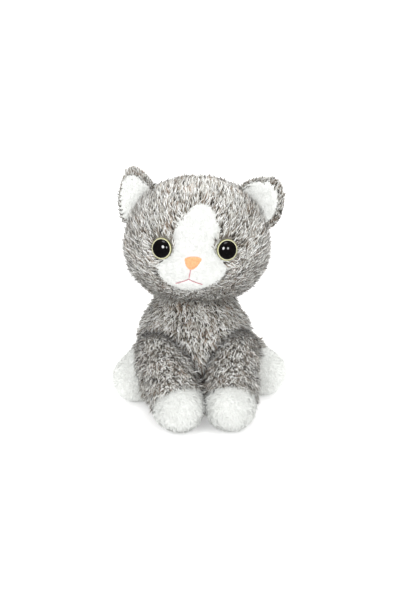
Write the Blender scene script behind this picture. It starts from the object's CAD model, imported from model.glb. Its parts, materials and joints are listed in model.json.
"""The looks of a sitting plush cat: real fur strands, embroidered nose and mouth, and glossy moulded eyes.

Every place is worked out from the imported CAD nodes. A skin is a smooth form inside the fur, made from the
CAD solids by hull, remesh and smoothing, and each strand of fur is a thin curved blade rooted on a skin.
"""

import json
import math

import bmesh
import bpy
import numpy as np
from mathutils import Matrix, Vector, noise
from mathutils.bvhtree import BVHTree


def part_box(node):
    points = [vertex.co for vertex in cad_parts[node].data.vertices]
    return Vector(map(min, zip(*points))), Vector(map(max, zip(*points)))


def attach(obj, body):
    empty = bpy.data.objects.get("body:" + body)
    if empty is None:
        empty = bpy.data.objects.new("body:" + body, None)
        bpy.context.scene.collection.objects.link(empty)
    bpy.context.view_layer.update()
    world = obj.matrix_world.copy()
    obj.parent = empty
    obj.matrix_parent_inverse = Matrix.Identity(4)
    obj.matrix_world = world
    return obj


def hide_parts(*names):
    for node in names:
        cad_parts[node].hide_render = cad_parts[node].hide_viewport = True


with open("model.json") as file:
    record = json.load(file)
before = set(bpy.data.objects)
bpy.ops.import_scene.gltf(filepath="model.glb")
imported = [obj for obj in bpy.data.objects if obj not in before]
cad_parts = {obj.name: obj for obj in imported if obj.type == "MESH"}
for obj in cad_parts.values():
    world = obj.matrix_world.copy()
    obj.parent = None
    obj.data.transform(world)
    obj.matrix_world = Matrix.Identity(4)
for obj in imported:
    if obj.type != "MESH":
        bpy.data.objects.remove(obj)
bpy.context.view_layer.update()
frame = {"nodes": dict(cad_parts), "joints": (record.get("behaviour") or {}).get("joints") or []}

MM = 0.001
NODES = frame["nodes"]
JOINTS = {joint["name"]: Vector(joint["pos_m"]) for joint in frame["joints"]}
SIDES = ("left", "right")
UP = Vector((0.0, 0.0, 1.0))
SEED = 20
# No strand and no skin reaches lower than these heights.
FLOOR_GAP = 0.1 * MM
SKIN_FLOOR = 0.7 * MM

RING_LOW, RING_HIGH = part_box("eye_ring_right")
EYE_RADIUS = 0.5 * (RING_HIGH.z - RING_LOW.z)


# Materials

# A noise pattern turns from its dark to its light colour between these two levels.
DARK_LEVEL = 0.3
LIGHT_LEVEL = 0.7
# Scales of the noise patterns, per metre, and how deep the finest ones are
CLOTH_PATCHES = 260.0
CLOTH_WEAVE = 1500.0
CLOTH_WEAVE_DEPTH = 0.4 * MM
PUPIL_HAZE = 300.0
THREAD_PATCHES = 1200.0
THREAD_FIBRES = 2600.0
THREAD_FIBRE_DEPTH = 0.2 * MM
# The paint of the eye ring, by its distance from the middle as a share of the eye's radius
IRIS_PAINT = (
    (0.86, (0.62, 0.60, 0.34)),
    (0.91, (0.84, 0.84, 0.60)),
    (0.95, (0.46, 0.44, 0.20)),
    (1.0, (0.08, 0.08, 0.04)),
)


class Look:
    """A short way to write a material's nodes."""

    def __init__(self, name, roughness):
        self.material = bpy.data.materials.new(name)
        self.material.use_nodes = True
        self.tree = self.material.node_tree
        self.shader = self.tree.nodes["Principled BSDF"]
        self.shader.inputs["Roughness"].default_value = roughness

    def node(self, kind, **settings):
        made = self.tree.nodes.new(kind)
        for key, value in settings.items():
            setattr(made, key, value)
        return made

    def link(self, start, end):
        self.tree.links.new(start, end)

    def set(self, **values):
        for key, value in values.items():
            self.shader.inputs[key.replace("_", " ")].default_value = value

    def paint(self, colour):
        self.link(colour, self.shader.inputs["Base Color"])

    def noise(self, scale, detail):
        place = self.node("ShaderNodeTexCoord")
        texture = self.node("ShaderNodeTexNoise")
        texture.inputs["Scale"].default_value = scale
        texture.inputs["Detail"].default_value = detail
        self.link(place.outputs["Object"], texture.inputs["Vector"])
        return texture.outputs["Fac"]

    def ramp(self, factor, stops):
        made = self.node("ShaderNodeValToRGB")
        elements = made.color_ramp.elements
        while len(elements) < len(stops):
            elements.new(0.5)
        for element, (place, colour) in zip(elements, stops):
            element.position = place
            element.color = (*colour, 1.0)
        self.link(factor, made.inputs["Fac"])
        return made.outputs["Color"]

    def mottle(self, scale, dark, light, detail=3.0):
        """Paints with a mix of two colours that changes from place to place."""
        stops = ((DARK_LEVEL, dark), (LIGHT_LEVEL, light))
        self.paint(self.ramp(self.noise(scale, detail), stops))

    def bump(self, height, strength, distance):
        made = self.node("ShaderNodeBump")
        made.inputs["Strength"].default_value = strength
        made.inputs["Distance"].default_value = distance
        self.link(height, made.inputs["Height"])
        self.link(made.outputs["Normal"], self.shader.inputs["Normal"])


def plush_material(name, sheen):
    """Pile whose colour is stored on each strand, with a soft sheen."""
    look = Look(name, roughness=0.75)
    colour = look.node("ShaderNodeAttribute", attribute_name="fur_colour")
    look.paint(colour.outputs["Color"])
    look.set(Sheen_Weight=sheen, Sheen_Roughness=0.5, Specular_IOR_Level=0.25)
    return look.material


def cloth_material(name, dark, light):
    """The knitted backing that the pile grows from."""
    look = Look(name, roughness=0.95)
    look.mottle(CLOTH_PATCHES, dark, light, detail=4.0)
    look.bump(look.noise(CLOTH_WEAVE, detail=2.0), strength=0.4, distance=CLOTH_WEAVE_DEPTH)
    look.set(Specular_IOR_Level=0.5)
    return look.material


def pupil_material():
    """Polished black plastic. With no roughness at all it mirrors the softboxes of the dark studio."""
    look = Look("eye black", roughness=0.0)
    look.mottle(PUPIL_HAZE, (0.002, 0.002, 0.002), (0.006, 0.005, 0.005))
    look.set(Specular_IOR_Level=0.2)
    return look.material


def iris_material():
    """Pale yellow paint that turns olive towards the outer edge, under clear plastic."""
    look = Look("eye ring", roughness=0.2)
    place = look.node("ShaderNodeTexCoord")
    level = look.node("ShaderNodeVectorMath", operation="MULTIPLY")
    level.inputs[1].default_value = (1.0, 1.0, 0.0)
    reach = look.node("ShaderNodeVectorMath", operation="LENGTH")
    share = look.node("ShaderNodeMath", operation="DIVIDE")
    share.inputs[1].default_value = EYE_RADIUS
    look.link(place.outputs["Object"], level.inputs[0])
    look.link(level.outputs["Vector"], reach.inputs[0])
    look.link(reach.outputs["Value"], share.inputs[0])
    look.paint(look.ramp(share.outputs["Value"], IRIS_PAINT))
    look.set(Specular_IOR_Level=0.3)
    return look.material


def thread_material(name, dark, light):
    """Embroidery thread with fine fibres and a silky sheen."""
    look = Look(name, roughness=0.5)
    look.mottle(THREAD_PATCHES, dark, light)
    look.bump(look.noise(THREAD_FIBRES, detail=2.0), strength=0.35, distance=THREAD_FIBRE_DEPTH)
    look.set(Sheen_Weight=0.3, Sheen_Roughness=0.3, Specular_IOR_Level=0.5)
    return look.material


def floor_material():
    """A pale floor that glows a little, so that it runs into the white room."""
    look = Look("pale floor", roughness=0.9)
    look.set(Base_Color=(0.92, 0.92, 0.92, 1.0))
    look.set(Emission_Color=(1.0, 1.0, 1.0, 1.0), Emission_Strength=0.35)
    return look.material


LOOKS = {
    "grey fur": plush_material("grey fur", 0.25),
    "white fur": plush_material("white fur", 0.35),
    "grey cloth": cloth_material("grey cloth", (0.14, 0.125, 0.105), (0.34, 0.32, 0.28)),
    "white cloth": cloth_material("white cloth", (0.64, 0.65, 0.63), (0.74, 0.75, 0.73)),
    "pupil": pupil_material(),
    "iris": iris_material(),
    "nose": thread_material("nose thread", (0.72, 0.28, 0.12), (0.85, 0.42, 0.21)),
    "mouth": thread_material("mouth thread", (0.42, 0.14, 0.17), (0.62, 0.30, 0.33)),
    "floor": floor_material(),
}


# Meshes

LUMP_SIZE = 15.0 * MM
LUMP_HEIGHT = 0.8 * MM
SOFTEN = 0.7
HULL_SOFTENING = 6
PLATE_SOFTENING = 4
PLATE_VOXEL = 0.8 * MM
PLATE_WELD = 0.01 * MM
THREAD_WELD = 0.002 * MM


def node_points(*names):
    return np.array([vert.co for name in names for vert in NODES[name].data.vertices])


def make_object(name, mesh, *looks):
    item = bpy.data.objects.new(name, mesh)
    bpy.context.scene.collection.objects.link(item)
    for look in looks:
        mesh.materials.append(LOOKS[look])
    return item


def mesh_from(name, bm):
    mesh = bpy.data.meshes.new(name)
    bm.normal_update()
    bm.to_mesh(mesh)
    bm.free()
    mesh.shade_smooth()
    return mesh


def welded(name, meshes, distance, look):
    """One object of one or more meshes, with points that lie together made one."""
    bm = bmesh.new()
    for mesh in meshes:
        bm.from_mesh(mesh)
    bmesh.ops.remove_doubles(bm, verts=bm.verts, dist=distance)
    return make_object(name, mesh_from(name, bm), look)


def apply_modifiers(item):
    bpy.context.view_layer.update()
    evaluated = item.evaluated_get(bpy.context.evaluated_depsgraph_get())
    mesh = bpy.data.meshes.new_from_object(evaluated)
    item.modifiers.clear()
    item.data = mesh


def push_out(mesh, amount, lumps):
    """Moves every point out along its normal, unevenly where lumps of stuffing push the cover."""
    for vert, normal in [(vert, Vector(vert.normal)) for vert in mesh.vertices]:
        swell = amount + lumps * noise.noise(vert.co / LUMP_SIZE)
        vert.co = vert.co + normal * swell
        vert.co.z = max(vert.co.z, SKIN_FLOOR)


def rounded(item, voxel, grow, softening, lumps):
    """Remeshes an object evenly, softens its edges and grows it."""
    remesh = item.modifiers.new("even", "REMESH")
    remesh.mode = "VOXEL"
    remesh.voxel_size = voxel
    soften = item.modifiers.new("soften", "SMOOTH")
    soften.factor = SOFTEN
    soften.iterations = softening
    apply_modifiers(item)
    push_out(item.data, grow, lumps)
    item.data.shade_smooth()
    return item


def hull_skin(name, nodes, voxel, grow, looks):
    """A smooth closed form round the CAD solids, grown out to the cover's surface."""
    bm = bmesh.new()
    for point in node_points(*nodes):
        bm.verts.new(point)
    result = bmesh.ops.convex_hull(bm, input=bm.verts)
    inside = [part for part in result["geom_interior"] if isinstance(part, bmesh.types.BMVert)]
    bmesh.ops.delete(bm, geom=inside, context="VERTS")
    loose = [vert for vert in bm.verts if not vert.link_faces]
    bmesh.ops.delete(bm, geom=loose, context="VERTS")
    item = make_object(name, mesh_from(name, bm), *looks)
    return rounded(item, voxel, grow, HULL_SOFTENING, LUMP_HEIGHT)


def soft_copy(name, node, look, grow):
    """A copy of a CAD plate or tube, remeshed and smoothed to a soft form."""
    item = welded(name, [NODES[node].data], PLATE_WELD, look)
    return rounded(item, PLATE_VOXEL, grow, PLATE_SOFTENING, 0.0)


def surface_tree(*names):
    """The surfaces of CAD nodes, ready to find the nearest point."""
    verts = []
    faces = []
    for name in names:
        start = len(verts)
        mesh = NODES[name].data
        verts += [vert.co.copy() for vert in mesh.vertices]
        faces += [[start + index for index in face.vertices] for face in mesh.polygons]
    return BVHTree.FromPolygons(verts, faces)


def nearest_distances(tree, points):
    return np.array([tree.find_nearest(Vector(point))[3] for point in points])


def height_above(skin, points):
    """How far each point is outside a closed skin, below zero inside it."""
    tree = BVHTree.FromPolygons(
        [vert.co for vert in skin.data.vertices],
        [list(face.vertices) for face in skin.data.polygons],
    )
    heights = []
    for point in points:
        place, normal, _, _ = tree.find_nearest(Vector(point))
        heights.append((Vector(point) - place).dot(normal))
    return np.array(heights)


def region_weight(points, inside, outside):
    """Above zero where a point is nearer to the inside nodes than to the outside ones, in metres."""
    to_outside = nearest_distances(surface_tree(*outside), points)
    to_inside = nearest_distances(surface_tree(*inside), points)
    return to_outside - to_inside


def paint_regions(skin, inside, outside):
    """Gives the second material slot to the faces of the inside region."""
    centres = np.array([face.center for face in skin.data.polygons])
    chosen = region_weight(centres, inside, outside) > 0.0
    skin.data.polygons.foreach_set("material_index", chosen.astype(np.int32))


def belong(body, slot, *pieces):
    """Gives pieces their material slot in the record and the body that they move with."""
    for piece in pieces:
        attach(piece, body)


# Directions and roots of fur

def unit(rows):
    return rows / np.maximum(np.linalg.norm(rows, axis=1, keepdims=True), 1e-12)


def same_way(direction, places):
    """One direction, repeated for every place."""
    return np.tile(np.array(direction), (len(places), 1))


def rows_of(items, key, kind=np.float64):
    """Three values of each item of a mesh, one item in each row."""
    rows = np.empty(len(items) * 3, kind)
    items.foreach_get(key, rows)
    return rows.reshape(-1, 3)


def scatter(skin, per_mm2, rng):
    """Random roots on a skin, even by area: places and outward normals."""
    mesh = skin.data
    mesh.calc_loop_triangles()
    verts = rows_of(mesh.vertices, "co")
    normals = rows_of(mesh.vertices, "normal")
    corners = rows_of(mesh.loop_triangles, "vertices", np.int32)
    first, second, third = (verts[corners[:, index]] for index in range(3))
    area = 0.5 * np.linalg.norm(np.cross(second - first, third - first), axis=1)
    count = int(area.sum() / MM**2 * per_mm2)
    chosen = rng.choice(len(area), count, p=area / area.sum())
    share = np.sqrt(rng.random(count))
    turn = rng.random(count)
    weights = np.stack([1.0 - share, share * (1.0 - turn), share * turn], axis=1)[:, :, None]
    places = (verts[corners[chosen]] * weights).sum(axis=1)
    facing = unit((normals[corners[chosen]] * weights).sum(axis=1))
    return places, facing


def smooth_noise(places, scale, offset):
    """A soft random value between about -1 and 1 for each place."""
    shift = Vector((offset, 2.0 * offset, -offset))
    return np.array([noise.noise(Vector(place) / scale + shift) for place in places])


def flow(facing, pull):
    """The direction along the surface that a pull in space gives."""
    along = pull - facing * (pull * facing).sum(axis=1, keepdims=True)
    return unit(along)


def stray(facing, way, amount, rng):
    """Turns each direction a little about the surface's normal."""
    angle = rng.normal(0.0, 1.0, len(way)) * amount
    side = np.cross(facing, way)
    return way * np.cos(angle)[:, None] + side * np.sin(angle)[:, None]


def combed(skin, per_mm2, pull, keep, wander, rng):
    """Roots that are kept on a skin, their normals, and the way that each strand lies."""
    places, facing = scatter(skin, per_mm2, rng)
    wanted = keep(places)
    places, facing = places[wanted], facing[wanted]
    return places, facing, stray(facing, flow(facing, pull(places)), wander, rng)


# Blades

BLADE_POINTS = 5
RISE_SPREAD = 0.14
RISE_LIMITS = (0.08, 1.4)
LIE_OVER = 0.45
TIP_STRAY = 0.16
ROOT_DEPTH = 0.3 * MM
MIDDLE_WIDTH = 0.9
MIDDLE_SHADE = 0.55


def blade_points(places, facing, way, length, width, lift, rng):
    """Five points of each blade: it rises from its root by lift, then lies over along way."""
    count = len(places)
    rise = np.clip(lift + rng.normal(0.0, RISE_SPREAD, count), *RISE_LIMITS)[:, None]
    low = facing * np.sin(rise) + way * np.cos(rise)
    over = LIE_OVER * rise
    high = facing * np.sin(over) + way * np.cos(over)
    high = unit(high + rng.normal(0.0, TIP_STRAY, (count, 3)))
    side = unit(np.cross(facing, way)) * (0.5 * width)[:, None]
    inner = side * MIDDLE_WIDTH
    half = 0.5 * length[:, None]
    root = places - facing * ROOT_DEPTH
    middle = root + low * half
    tip = middle + high * half
    points = np.stack([root - side, root + side, middle + inner, middle - inner, tip], axis=1)
    points = points.reshape(-1, 3)
    points[:, 2] = np.maximum(points[:, 2], FLOOR_GAP)
    return points


def blade_mesh(name, points):
    """A mesh with one quad and one pointed tip for every blade."""
    count = len(points) // BLADE_POINTS
    base = np.arange(count)[:, None] * BLADE_POINTS
    quads = base + np.array([0, 1, 2, 3])
    tips = base + np.array([3, 2, 4])
    loops = np.concatenate([quads.ravel(), tips.ravel()])
    starts = np.concatenate([np.arange(count) * 4, 4 * count + np.arange(count) * 3])
    mesh = bpy.data.meshes.new(name)
    mesh.vertices.add(len(points))
    mesh.vertices.foreach_set("co", points.ravel())
    mesh.loops.add(len(loops))
    mesh.loops.foreach_set("vertex_index", loops.astype(np.int32))
    mesh.polygons.add(2 * count)
    mesh.polygons.foreach_set("loop_start", starts.astype(np.int32))
    mesh.update(calc_edges=True)
    return mesh


def paint_blades(mesh, root_colour, tip_colour):
    """Stores a colour on each point: the root's, the tip's, and a mix of both half way."""
    middle = (1.0 - MIDDLE_SHADE) * root_colour + MIDDLE_SHADE * tip_colour
    paint = np.ones((len(root_colour), BLADE_POINTS, 4))
    for index, colour in enumerate((root_colour, root_colour, middle, middle, tip_colour)):
        paint[:, index, :3] = colour
    attribute = mesh.color_attributes.new("fur_colour", "FLOAT_COLOR", "POINT")
    attribute.data.foreach_set("color", paint.ravel())


def blades(name, points, colours, look):
    """One object of many blades."""
    mesh = blade_mesh(name, points)
    paint_blades(mesh, *colours)
    mesh.shade_smooth()
    mesh.validate()
    return make_object(name, mesh, look)


# Grey fur

GREY_DENSITY = 1.5
GREY_LENGTH = 5.2 * MM
GREY_LENGTHS = (0.7, 1.25)
GREY_WIDTHS = (0.45, 0.85)
GREY_WANDER = 0.52
GREY_LIFT = 0.66
# A few loose strands are longer and stand up more.
LOOSE_SHARE = 0.08
LOOSE_LENGTH = 1.25
LOOSE_LIFT = 1.05
# Strands nearer than this to a skin that presses on them are cut short.
PRESSED = 0.6 * MM
PRESSED_LENGTH = 0.35
# Strands get darker over this distance towards such a skin.
CREASE = 6.0 * MM
CREASE_DARK = 0.12
# Shades of the strands from dark to pale, and the share that each has
GREY_SHADES = np.array(
    (
        (0.045, 0.04, 0.032),
        (0.23, 0.195, 0.155),
        (0.44, 0.42, 0.375),
        (0.70, 0.69, 0.645),
        (0.95, 0.95, 0.91),
    )
)
GREY_SHARES = np.array((0.24, 0.16, 0.15, 0.19, 0.26))
GREY_SPREAD = (0.85, 1.15)
GREY_ROOT = 0.5
PALEST = 0.95
# Soft patches that are darker or lighter, with smaller ones inside them
PATCH_SIZE = 11.0 * MM
PATCH_SHARE = 0.16
SMALL_PATCH_SIZE = 4.0 * MM
SMALL_PATCH_SHARE = 0.6
# Soft patches where the dark, taupe and mid grey strands are browner
WARM_SIZE = 9.0 * MM
WARM_CONTRAST = 2.0
WARM_SHADES = 3
WARM_TINT = np.array((0.12, -0.06, -0.16))
# Offsets that keep the patterns apart
PATCH_SHIFT = 3.0
SMALL_PATCH_SHIFT = 7.0
WARM_SHIFT = 5.0


def grey_colours(places, rng, lighter):
    """Heathered fur: a mix of dark, taupe and pale strands, in soft patches."""
    small = SMALL_PATCH_SHARE * smooth_noise(places, SMALL_PATCH_SIZE, SMALL_PATCH_SHIFT)
    cloud = smooth_noise(places, PATCH_SIZE, PATCH_SHIFT) + small
    draw = rng.random(len(places)) + PATCH_SHARE * cloud + lighter
    index = np.searchsorted(np.cumsum(GREY_SHARES), np.clip(draw, 0.0, 0.999))
    warm = np.clip(WARM_CONTRAST * smooth_noise(places, WARM_SIZE, WARM_SHIFT), 0.0, 1.0)
    warm = np.where(index < WARM_SHADES, warm, 0.0)[:, None]
    tip = GREY_SHADES[index] * (1.0 + warm * WARM_TINT)
    tip = tip * rng.uniform(*GREY_SPREAD, (len(places), 1))
    return tip * GREY_ROOT, np.clip(tip, 0.0, PALEST)


def pressed(places, under):
    """How short and how dark strands are where other skins press on them, as shares."""
    short = np.ones(len(places))
    shade = np.ones(len(places))
    for other in under:
        height = height_above(other, places)
        short = np.where(height < PRESSED, PRESSED_LENGTH * short, short)
        shade = np.minimum(shade, np.clip(CREASE_DARK + height / CREASE, CREASE_DARK, 1.0))
    return short, shade[:, None]


def grey_fur(
    name,
    skin,
    rng,
    pull,
    keep,
    per_mm2=GREY_DENSITY,
    length=GREY_LENGTH,
    wander=GREY_WANDER,
    loose_share=LOOSE_SHARE,
    lighter=0.0,
    under=(),
):
    """Long heathered fur, cut short and darker where it lies under the skins that press on it."""
    places, facing, way = combed(skin, per_mm2, pull, keep, wander, rng)
    size = length * rng.uniform(*GREY_LENGTHS, len(places))
    loose = rng.random(len(places)) < loose_share
    size = np.where(loose, LOOSE_LENGTH * size, size)
    lift = np.where(loose, LOOSE_LIFT, GREY_LIFT)
    short, shade = pressed(places, under)
    width = rng.uniform(*GREY_WIDTHS, len(places)) * MM
    colours = [colour * shade for colour in grey_colours(places, rng, lighter)]
    points = blade_points(places, facing, way, size * short, width, lift, rng)
    return blades(name, points, colours, "grey fur")


# White pile

WHITE_LENGTHS = (0.7, 1.3)
WHITE_WIDTHS = (0.35, 0.6)
WHITE_WANDER = 0.8
WHITE_TINT = np.array((1.0, 1.012, 0.985))
WHITE_SPREAD = (0.97, 1.02)
WHITE_ROOT = 0.97


def white_colours(count, rng, bright):
    tip = bright * WHITE_TINT * rng.uniform(*WHITE_SPREAD, (count, 1))
    return tip * WHITE_ROOT, np.clip(tip, 0.0, PALEST)


def white_fur(name, skin, rng, pull, keep, per_mm2, length, lift, bright):
    """Short white pile."""
    places, facing, way = combed(skin, per_mm2, pull, keep, WHITE_WANDER, rng)
    size = length * rng.uniform(*WHITE_LENGTHS, len(places))
    width = rng.uniform(*WHITE_WIDTHS, len(places)) * MM
    colours = white_colours(len(places), rng, bright)
    points = blade_points(places, facing, way, size, width, lift, rng)
    return blades(name, points, colours, "white fur")


# Head

def plane_of(node):
    """Middle and outward facing of a flat round node on the face."""
    points = node_points(node)
    middle = points.mean(axis=0)
    facing = np.linalg.svd(points - middle)[2][2]
    if facing[1] > 0.0:
        facing = -facing
    return Vector(middle), Vector(facing)


# The face's own directions: across it, ahead of it and up it
EYES = {side: plane_of(f"eye_ring_{side}") for side in SIDES}
EYE_MIDDLE = (EYES["left"][0] + EYES["right"][0]) / 2.0
ACROSS = (EYES["right"][0] - EYES["left"][0]).normalized()
AHEAD = ACROSS.cross(UP).normalized()
HEAD_UP = AHEAD.cross(ACROSS).normalized()

FACE_TREE = surface_tree("face_panel")
PANEL = ("face_panel",)
COVER = ("head_cover",)
HEAD_VOXEL = 2.2 * MM
HEAD_GROW = -0.2 * MM
# How the fur of the head turns away from its middle, the panel's edge and the eyes
FAN_OUT = 8.0
PART_SOON = 2.7 * MM
PANEL_PUSH = 1.2
PANEL_FLATTEN = np.array((1.0, 0.0, 0.6))
EYE_PUSH = 2.0
NOSE_DROP = 6.0 * MM
# What the fur and the pile leave free, and how far they overlap at the panel's edge
EYE_CLEARANCE = 1.06
STITCH_CLEARANCE = 0.9 * MM
FUR_OVERLAP = 0.2 * MM
PILE_OVERLAP = 0.3 * MM


def head_flow(places):
    """Pile runs up the head, spreads a little from the middle, and parts round the eyes and the panel."""
    away = places - np.array(EYE_MIDDLE)
    pull = np.zeros_like(places)
    pull[:, 0] = FAN_OUT * away[:, 0]
    pull[:, 2] = 1.0
    near_panel = np.exp(-nearest_distances(FACE_TREE, places) / PART_SOON)[:, None]
    pull = pull + PANEL_PUSH * near_panel * unit(away * PANEL_FLATTEN)
    for middle, _ in EYES.values():
        reach = places - np.array(middle)
        far = np.linalg.norm(reach, axis=1) - EYE_RADIUS
        near_eye = np.exp(-np.maximum(far, 0.0) / PART_SOON)[:, None]
        pull = pull + EYE_PUSH * near_eye * unit(reach)
    return pull


def nose_out(places):
    """The short pile of the face lies away from the nose."""
    return unit(places - np.array(EYE_MIDDLE - HEAD_UP * NOSE_DROP))


def clear_of_eyes(places):
    free = np.ones(len(places), bool)
    for middle, _ in EYES.values():
        free &= np.linalg.norm(places - np.array(middle), axis=1) > EYE_RADIUS * EYE_CLEARANCE
    return free


def clear_of_stitches(places):
    return nearest_distances(surface_tree("nose", "mouth"), places) > STITCH_CLEARANCE


def on_cover(places):
    return (region_weight(places, PANEL, COVER) < FUR_OVERLAP) & clear_of_eyes(places)


def on_panel(places):
    near = region_weight(places, PANEL, COVER) > -PILE_OVERLAP
    return near & clear_of_eyes(places) & clear_of_stitches(places)


def make_head(rng):
    looks = ("grey cloth", "white cloth")
    skin = hull_skin("head_skin", COVER + PANEL, HEAD_VOXEL, HEAD_GROW, looks)
    paint_regions(skin, PANEL, COVER)
    fur = grey_fur("head_fur", skin, rng, head_flow, on_cover, lighter=0.12, wander=0.34)
    pile = white_fur(
        "face_pile", skin, rng, nose_out, on_panel, per_mm2=3.5, length=1.7 * MM, lift=0.5, bright=0.67
    )
    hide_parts("head_cover", "head_stuffing")
    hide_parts("face_panel")
    belong("head", "grey_plush", skin, fur)
    belong("head", "white_plush", pile)
    return skin


# Eyes

EYE_AROUND = 48
DOME_DEGREES = 6
PUPIL_SHARE = 0.885
PUPIL_RISE = 0.62
PUPIL_PROUD = 0.3 * MM
EYE_EDGE = -0.9 * MM
PUPIL_EDGE = 0.7 * EYE_EDGE
RING_INSIDE = 0.95
RING_ROUND = 0.55 * MM
RING_BASE = 0.15 * MM
RING_SUNK = 0.1 * MM
RING_STEPS = 8


def turned(name, profile, look):
    """A closed turned form from radius and height points that start and end on the axis."""
    bm = bmesh.new()
    rings = []
    for radius, height in profile:
        if radius <= 0.0:
            rings.append([bm.verts.new((0.0, 0.0, height))] * EYE_AROUND)
            continue
        ring = []
        for step in range(EYE_AROUND):
            angle = 2.0 * math.pi * step / EYE_AROUND
            ring.append(bm.verts.new((radius * math.cos(angle), radius * math.sin(angle), height)))
        rings.append(ring)
    for high, low in zip(rings, rings[1:]):
        for step in range(EYE_AROUND):
            ahead = (step + 1) % EYE_AROUND
            corners = [high[step], low[step], low[ahead], high[ahead]]
            bm.faces.new(list(dict.fromkeys(corners)))
    return make_object(name, mesh_from(name, bm), look)


def place_on(item, middle, facing):
    item.rotation_mode = "QUATERNION"
    item.rotation_quaternion = facing.to_track_quat("Z", "Y")
    item.location = middle


def pupil_profile():
    """A shallow dome with a short straight skirt."""
    black = EYE_RADIUS * PUPIL_SHARE
    profile = []
    for degrees in range(0, 90, DOME_DEGREES):
        angle = math.radians(degrees)
        profile.append((black * math.sin(angle), PUPIL_RISE * black * math.cos(angle)))
    return profile + [(black, PUPIL_EDGE), (0.0, PUPIL_EDGE)]


def ring_profile():
    """A rounded rim that starts just under the pupil's edge."""
    inside = RING_INSIDE * EYE_RADIUS * PUPIL_SHARE
    middle = 0.5 * (EYE_RADIUS + inside)
    half = 0.5 * (EYE_RADIUS - inside)
    profile = [(0.0, RING_BASE)]
    for step in range(RING_STEPS + 1):
        angle = math.pi * step / RING_STEPS
        profile.append((middle - half * math.cos(angle), RING_BASE + RING_ROUND * math.sin(angle)))
    return profile + [(EYE_RADIUS, EYE_EDGE), (0.0, EYE_EDGE)]


def make_eyes():
    for side, (middle, facing) in EYES.items():
        pupil = turned(f"pupil_{side}", pupil_profile(), "pupil")
        ring = turned(f"iris_{side}", ring_profile(), "iris")
        place_on(pupil, middle + facing * PUPIL_PROUD, facing)
        place_on(ring, middle - facing * RING_SUNK, facing)
        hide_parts(f"eye_{side}", f"eye_washer_{side}")
        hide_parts(f"eye_ring_{side}")
        belong("head", "black_plastic", pupil)
        belong("head", "cream_plastic", ring)


# Nose and mouth

PATH_STEPS = 8
THREAD_FINENESS = 2
THREAD_END = 0.35
FRONT_REACH = 40.0 * MM

NOSE_THREADS = 15
NOSE_THREAD = 0.46 * MM
NOSE_LIFT = 0.25 * MM
NOSE_CROWN = 0.9 * MM
NOSE_CROWN_FALL = 0.5
# The corners of the nose's top are rounded by this much, and its sides are this tall.
NOSE_SHOULDER = 1.4 * MM
NOSE_SIDE = 1.6 * MM
# Powers that shape the rounded top and the pointed bottom
SHOULDER_POWER = 3.0
TAPER_POWER = 1.8
POINT_POWER = 0.7

MOUTH_THREAD = 0.2 * MM
MOUTH_LIFT = 0.45 * MM
PLY_RADIUS = 0.16 * MM
PLY_TURN = 0.9
STEM_HIDDEN = 0.3 * MM
FORK_SHARE = 0.40
STROKE_BEND = 0.9
STROKE_PARTS = 3


def tube(name, path, radius):
    """The mesh of a thread along a path, thinner at both ends."""
    curve = bpy.data.curves.new(name, "CURVE")
    curve.dimensions = "3D"
    curve.bevel_depth = radius
    curve.bevel_resolution = THREAD_FINENESS
    curve.use_fill_caps = True
    spline = curve.splines.new("POLY")
    last = len(path) - 1
    spline.points.add(last)
    for index, place in enumerate(path):
        spline.points[index].co = (*place, 1.0)
        spline.points[index].radius = THREAD_END if index in (0, last) else 1.0
    item = bpy.data.objects.new(name, curve)
    bpy.context.scene.collection.objects.link(item)
    bpy.context.view_layer.update()
    mesh = bpy.data.meshes.new_from_object(item.evaluated_get(bpy.context.evaluated_depsgraph_get()))
    bpy.data.objects.remove(item, do_unlink=True)
    return mesh


def on_head(tree, across, up, lift):
    """The point of the head in front of a place across and up from the eyes' middle."""
    start = EYE_MIDDLE + ACROSS * across + HEAD_UP * up + AHEAD * FRONT_REACH
    hit, normal, _, _ = tree.ray_cast(start, -AHEAD)
    return hit + normal * lift


def face_places(node):
    """The points of a node as distances across and up from the eyes' middle."""
    away = [Vector(point) - EYE_MIDDLE for point in node_points(node)]
    return np.array([(step.dot(ACROSS), step.dot(HEAD_UP)) for step in away])


def mouth_place():
    """Where the two strokes of the mouth meet, how far they reach and how low."""
    spots = face_places("mouth")
    left = spots[spots[:, 0].argmin()]
    right = spots[spots[:, 0].argmax()]
    low = 0.5 * (left[1] + right[1])
    high = spots[:, 1].max()
    middle = 0.5 * (left[0] + right[0])
    return (middle, low + FORK_SHARE * (high - low)), 0.5 * (right[0] - left[0]), low


def nose_path(tree, share, nose, lean):
    """One satin stitch, at a share of the nose's half width from its middle, from top to bottom."""
    (left, low), (right, high) = nose
    across = 0.5 * (left + right) + 0.5 * (right - left) * share
    top = high - NOSE_SHOULDER * abs(share) ** SHOULDER_POWER
    depth = (1.0 - abs(share) ** TAPER_POWER) ** POINT_POWER
    bottom = high - NOSE_SIDE - (high - low - NOSE_SIDE) * depth
    path = []
    for step in range(PATH_STEPS + 1):
        along = step / PATH_STEPS
        up = top + (bottom - top) * along
        swell = math.sqrt(abs(math.sin(math.pi * along)))
        crown = NOSE_CROWN * swell * (1.0 - NOSE_CROWN_FALL * share * share)
        sideways = across + lean * (up - 0.5 * (low + high))
        path.append(on_head(tree, sideways, up, NOSE_LIFT + crown))
    return path


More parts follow.
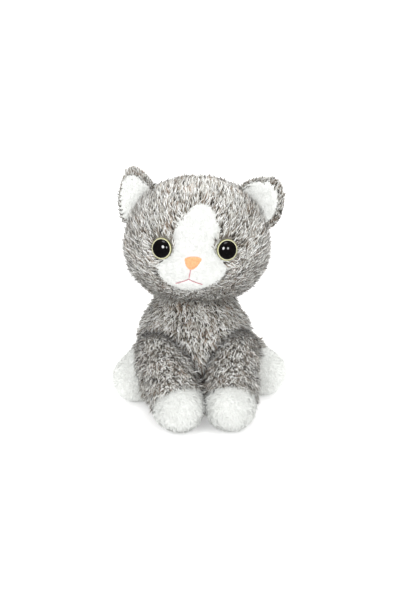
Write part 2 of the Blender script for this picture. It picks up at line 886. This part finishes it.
def make_nose(tree):
    """Satin stitch: threads side by side. Gives back the point under the nose where the mouth starts."""
    spots = face_places("nose")
    nose = (spots.min(axis=0), spots.max(axis=0))
    (left, low), (right, high) = nose
    middle = 0.5 * (left + right)
    fork, _, _ = mouth_place()
    lean = (middle - fork[0]) / (0.5 * (low + high) - fork[1])
    threads = []
    for index in range(NOSE_THREADS):
        share = 2.0 * (index + 0.5) / NOSE_THREADS - 1.0
        threads.append(tube("nose_thread", nose_path(tree, share, nose, lean), NOSE_THREAD))
    stitches = welded("nose_stitches", threads, THREAD_WELD, "nose")
    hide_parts("nose")
    belong("head", "nose_thread", stitches)
    return middle - lean * 0.5 * (high - low), low


def mouth_strokes(start, top):
    """The stem from the nose down to the fork, and the two strokes that fall away from the fork."""
    (middle, fork), reach, low = mouth_place()
    half_way = (0.5 * (start + middle), 0.5 * (top + fork))
    strokes = [[(start, top + STEM_HIDDEN), half_way, (middle, fork)]]
    for side in (-1.0, 1.0):
        stroke = []
        for step in range(PATH_STEPS + 1):
            share = step / PATH_STEPS
            stroke.append((middle + side * reach * share, fork - (fork - low) * share**STROKE_BEND))
        strokes.append(stroke)
    return strokes


def finer(stroke):
    """The same stroke with each of its steps cut into several."""
    fine = []
    for (across, up), (next_across, next_up) in zip(stroke, stroke[1:]):
        for step in range(STROKE_PARTS):
            share = step / STROKE_PARTS
            fine.append((across + (next_across - across) * share, up + (next_up - up) * share))
    return fine + [stroke[-1]]


def ply_path(tree, stroke, turn):
    """One of the two threads that wind round each other along a stroke."""
    path = []
    for index, (across, up) in enumerate(stroke):
        angle = index * PLY_TURN + turn
        aside = PLY_RADIUS * math.cos(angle)
        lift = MOUTH_LIFT + PLY_RADIUS * math.sin(angle)
        path.append(on_head(tree, across + aside, up, lift))
    return path


def make_mouth(tree, start, top):
    """Three strokes, each of two threads plied together."""
    threads = []
    for stroke in mouth_strokes(start, top):
        for turn in (0.0, math.pi):
            threads.append(tube("mouth_thread", ply_path(tree, finer(stroke), turn), MOUTH_THREAD))
    mouth = welded("mouth_stitches", threads, THREAD_WELD, "mouth")
    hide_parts("mouth")
    belong("head", "mouth_thread", mouth)


# Ears

EAR_FLOW = np.array((0.6, 0.0, 1.0))
EAR_GROW = 0.1 * MM
EAR_REACH = 5.5 * MM
EAR_STRETCH = 1.6
LINING_CLEARANCE = 0.6 * MM


def reach_down(skin, head):
    """Draws the root of an ear down into the fur of the head, where the CAD leaves a gap for the fold."""
    points = [vert.co for vert in skin.data.vertices]
    tree = BVHTree.FromObject(head, bpy.context.evaluated_depsgraph_get())
    for vert, height in zip(skin.data.vertices, height_above(head, points)):
        if height < EAR_REACH:
            _, normal, _, _ = tree.find_nearest(vert.co)
            vert.co = vert.co - normal * EAR_STRETCH * (EAR_REACH - height)


def everywhere(places):
    return np.ones(len(places), bool)


def make_ear(side, head, rng):
    back = f"ear_back_{side}"
    front = f"ear_lining_{side}"
    back_skin = soft_copy(f"ear_skin_{side}", back, "grey cloth", EAR_GROW)
    lining = soft_copy(f"ear_lining_skin_{side}", front, "white cloth", EAR_GROW)
    reach_down(back_skin, head)
    reach_down(lining, head)
    front_tree = surface_tree(front)
    rise = np.array(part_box(back)[1]) - np.array(JOINTS[f"ear_{side}_fold"])
    to_tip = unit(rise[None, :] * EAR_FLOW)[0]

    def towards_tip(places):
        return same_way(to_tip, places)

    def on_back(places):
        return nearest_distances(front_tree, places) > LINING_CLEARANCE

    fur = grey_fur(
        f"ear_fur_{side}",
        back_skin,
        rng,
        towards_tip,
        on_back,
        per_mm2=3.6,
        length=2.8 * MM,
        wander=0.32,
        loose_share=0.03,
        lighter=0.05,
    )
    pile = white_fur(
        f"ear_pile_{side}",
        lining,
        rng,
        towards_tip,
        everywhere,
        per_mm2=2.5,
        length=1.6 * MM,
        lift=0.5,
        bright=0.80,
    )
    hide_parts(back)
    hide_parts(front)
    belong(f"ear_{side}", "grey_plush", back_skin, fur)
    belong(f"ear_{side}", "white_plush", lining, pile)


# Body, legs and tail

TORSO_NODES = ("body_cover", "seat_panel")
TORSO_VOXEL = 2.5 * MM
TORSO_GROW = 0.2 * MM
LEG_VOXEL = 2.0 * MM
LEG_GROW = 0.3 * MM
TAIL_GROW = 1.7 * MM
FUR_FLOOR = 2.0 * MM
BODY_FLOW = (0.0, -0.15, -1.0)
SWIRL = 0.7
SWIRL_SIZE = 16.0 * MM
SWIRL_SHIFT = 1.0
LEG_SAG = np.array((0.0, 0.0, -0.3))
PAW_OVERLAP = 1.0 * MM
PAW_PILE = {"front": 3.1 * MM, "hind": 2.4 * MM}
PAW_BRIGHT = {"front": 0.76, "hind": 0.83}
TAIL_TURN = 0.5


def make_skins():
    """The smooth closed forms of the body, the legs and the tail, before any fur."""
    torso = hull_skin("body_skin", TORSO_NODES, TORSO_VOXEL, TORSO_GROW, ("grey cloth",))
    skins = {"torso": torso}
    looks = ("grey cloth", "white cloth")
    for side in SIDES:
        for kind in ("front", "hind"):
            body = f"{kind}_leg_{side}"
            nodes = (f"{kind}_leg_cover_{side}", f"{kind}_paw_cover_{side}")
            skins[body] = hull_skin(f"{body}_skin", nodes, LEG_VOXEL, LEG_GROW, looks)
    skins["tail"] = soft_copy("tail_skin", "tail_stuffing", "grey cloth", TAIL_GROW)
    return skins


def downward(places):
    """The fur of the body hangs down, with soft swirls to either side."""
    pull = same_way(BODY_FLOW, places)
    pull[:, 0] += SWIRL * smooth_noise(places, SWIRL_SIZE, SWIRL_SHIFT)
    return pull


def off_the_floor(places):
    return places[:, 2] > FUR_FLOOR


def make_body(rng, skins):
    skin = skins["torso"]
    pressing = [other for body, other in skins.items() if body != "torso"]
    fur = grey_fur("body_fur", skin, rng, downward, off_the_floor, lighter=0.05, under=pressing)
    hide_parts(*TORSO_NODES, "body_stuffing", "pellet_pouch", "pellets", "neck_band")
    belong("torso", "grey_plush", skin, fur)


def make_leg(kind, side, rng, skins):
    body = f"{kind}_leg_{side}"
    cover = (f"{kind}_leg_cover_{side}",)
    paw = (f"{kind}_paw_cover_{side}",)
    skin = skins[body]
    paint_regions(skin, paw, cover)
    tip = Vector(node_points(*paw).mean(axis=0))
    toe = (tip - JOINTS[f"{body}_lift"]).normalized()

    def towards_paw(places):
        return same_way(toe, places) + LEG_SAG

    def on_leg(places):
        return (region_weight(places, paw, cover) < 0.0) & off_the_floor(places)

    def on_paw(places):
        return region_weight(places, paw, cover) > -PAW_OVERLAP

    pressing = [skins["torso"]]
    if kind == "front":
        pressing.append(skins["front_leg_right" if side == "left" else "front_leg_left"])
    fur = grey_fur(f"{body}_fur", skin, rng, towards_paw, on_leg, lighter=0.06, under=pressing)
    pile = white_fur(
        f"{body}_pile",
        skin,
        rng,
        towards_paw,
        on_paw,
        per_mm2=1.8,
        length=PAW_PILE[kind],
        lift=0.8,
        bright=PAW_BRIGHT[kind],
    )
    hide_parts(*cover, f"{kind}_leg_stuffing_{side}")
    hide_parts(*paw)
    belong(body, "grey_plush", skin, fur)
    belong(body, "white_plush", pile)


def make_tail(rng, skins):
    skin = skins["tail"]
    root = np.array(JOINTS["tail_swing"])

    def towards_tip(places):
        """Away from the root, turned to follow the curl."""
        away = places - root
        return away + TAIL_TURN * np.cross(np.array(UP), away)

    pressing = [skins["torso"]]
    fur = grey_fur("tail_fur", skin, rng, towards_tip, everywhere, length=4.4 * MM, under=pressing)
    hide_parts("tail_cover", "tail_stuffing")
    belong("tail", "grey_plush", skin, fur)


# Stage, light and camera

FLOOR_HALF = 4.0
# Each softbox: its direction, its radius as an angle, its brightness as shiny things see it
SOFTBOXES = (
    (Vector((-0.35, -1.0, 0.40)), 0.20, 52.0),
    (Vector((0.45, -1.0, 0.34)), 0.14, 28.0),
)
SOFT_EDGE = (1.2, 0.8)
ROOM_LIGHT = 1.12
DARK_ROOM = 0.08

LIGHT_AIM = Vector((0.0, 0.0, 0.08))
TOP_LIGHT_PLACE = Vector((0.0, -0.15, 1.2))
TOP_LIGHT_SIZE = 0.6
TOP_LIGHT_POWER = 6.5
SOFTBOX_LIGHTS = (("key light", 2.2), ("fill light", 0.8))

CAMERA_AZIMUTH = -5.0
CAMERA_ELEVATION = 14.0
CAMERA_DISTANCE = 0.75
CAMERA_LENS = 68.5
CAMERA_AIM = Vector((1.0, -4.0, 74.3)) * MM


def make_stage():
    """The floor. Shiny things don't see it, so that the eyes stay black below."""
    grid = bmesh.new()
    bmesh.ops.create_grid(grid, x_segments=1, y_segments=1, size=FLOOR_HALF)
    floor = make_object("floor", mesh_from("floor", grid), "floor")
    floor.visible_glossy = False


def softbox(tree, direction, radius, strength):
    """How bright one softbox looks along a ray: full in its middle, fading out at its soft edge."""
    place = tree.nodes.new("ShaderNodeTexCoord")
    facing = tree.nodes.new("ShaderNodeVectorMath")
    facing.operation = "DOT_PRODUCT"
    facing.inputs[1].default_value = direction.normalized()
    box = tree.nodes.new("ShaderNodeMapRange")
    box.inputs["From Min"].default_value = math.cos(radius * SOFT_EDGE[0])
    box.inputs["From Max"].default_value = math.cos(radius * SOFT_EDGE[1])
    box.inputs["To Min"].default_value = 0.0
    box.inputs["To Max"].default_value = strength
    tree.links.new(place.outputs["Generated"], facing.inputs[0])
    tree.links.new(facing.outputs["Value"], box.inputs["Value"])
    return box.outputs["Result"]


def dark_studio(tree):
    """The brightness of a dark room with the softboxes in it."""
    total = tree.nodes.new("ShaderNodeValue").outputs["Value"]
    total.default_value = DARK_ROOM
    for direction, radius, strength in SOFTBOXES:
        both = tree.nodes.new("ShaderNodeMath")
        both.operation = "ADD"
        tree.links.new(total, both.inputs[0])
        tree.links.new(softbox(tree, direction, radius, strength), both.inputs[1])
        total = both.outputs["Value"]
    return total


def make_world():
    """A white room. Mirror reflections see it dark, with two bright softboxes, as in a shaded studio."""
    world = bpy.data.worlds.new("soft white room")
    world.use_nodes = True
    tree = world.node_tree
    back = tree.nodes["Background"]
    back.inputs["Color"].default_value = (1.0, 1.0, 1.0, 1.0)
    path = tree.nodes.new("ShaderNodeLightPath")
    choose = tree.nodes.new("ShaderNodeMix")
    choose.data_type = "FLOAT"
    choose.inputs["A"].default_value = ROOM_LIGHT
    tree.links.new(path.outputs["Is Singular Ray"], choose.inputs["Factor"])
    tree.links.new(dark_studio(tree), choose.inputs["B"])
    tree.links.new(choose.outputs["Result"], back.inputs["Strength"])
    bpy.context.scene.world = world
    bpy.context.scene.view_settings.view_transform = "Standard"


def add_light(name, place, size, power):
    """A round soft light that points at the toy."""
    light = bpy.data.lights.new(name, "AREA")
    light.shape = "DISK"
    light.size = size
    light.energy = power
    item = bpy.data.objects.new(name, light)
    item.location = place
    item.rotation_mode = "QUATERNION"
    item.rotation_quaternion = (LIGHT_AIM - place).to_track_quat("-Z", "Y")
    bpy.context.scene.collection.objects.link(item)


def make_lights():
    """One light from above, and one from each softbox."""
    add_light("top light", TOP_LIGHT_PLACE, TOP_LIGHT_SIZE, TOP_LIGHT_POWER)
    for (direction, radius, _), (name, power) in zip(SOFTBOXES, SOFTBOX_LIGHTS):
        add_light(name, LIGHT_AIM + direction, 2.0 * radius, power)


def make_camera():
    azimuth = math.radians(CAMERA_AZIMUTH)
    elevation = math.radians(CAMERA_ELEVATION)
    level = math.cos(elevation)
    back = Vector((math.sin(azimuth) * level, -math.cos(azimuth) * level, math.sin(elevation)))
    camera = bpy.data.cameras.new("camera")
    camera.lens = CAMERA_LENS
    item = bpy.data.objects.new("camera", camera)
    item.location = CAMERA_AIM + back * CAMERA_DISTANCE
    item.rotation_mode = "QUATERNION"
    item.rotation_quaternion = (-back).to_track_quat("-Z", "Y")
    bpy.context.scene.collection.objects.link(item)
    bpy.context.scene.camera = item


def main():
    rng = np.random.default_rng(SEED)
    head = make_head(rng)
    make_eyes()
    head_tree = BVHTree.FromObject(head, bpy.context.evaluated_depsgraph_get())
    start, top = make_nose(head_tree)
    make_mouth(head_tree, start, top)
    for side in SIDES:
        make_ear(side, head, rng)
    skins = make_skins()
    make_body(rng, skins)
    for side in SIDES:
        make_leg("front", side, rng, skins)
        make_leg("hind", side, rng, skins)
    make_tail(rng, skins)
    make_stage()
    make_world()
    make_lights()
    make_camera()


main()
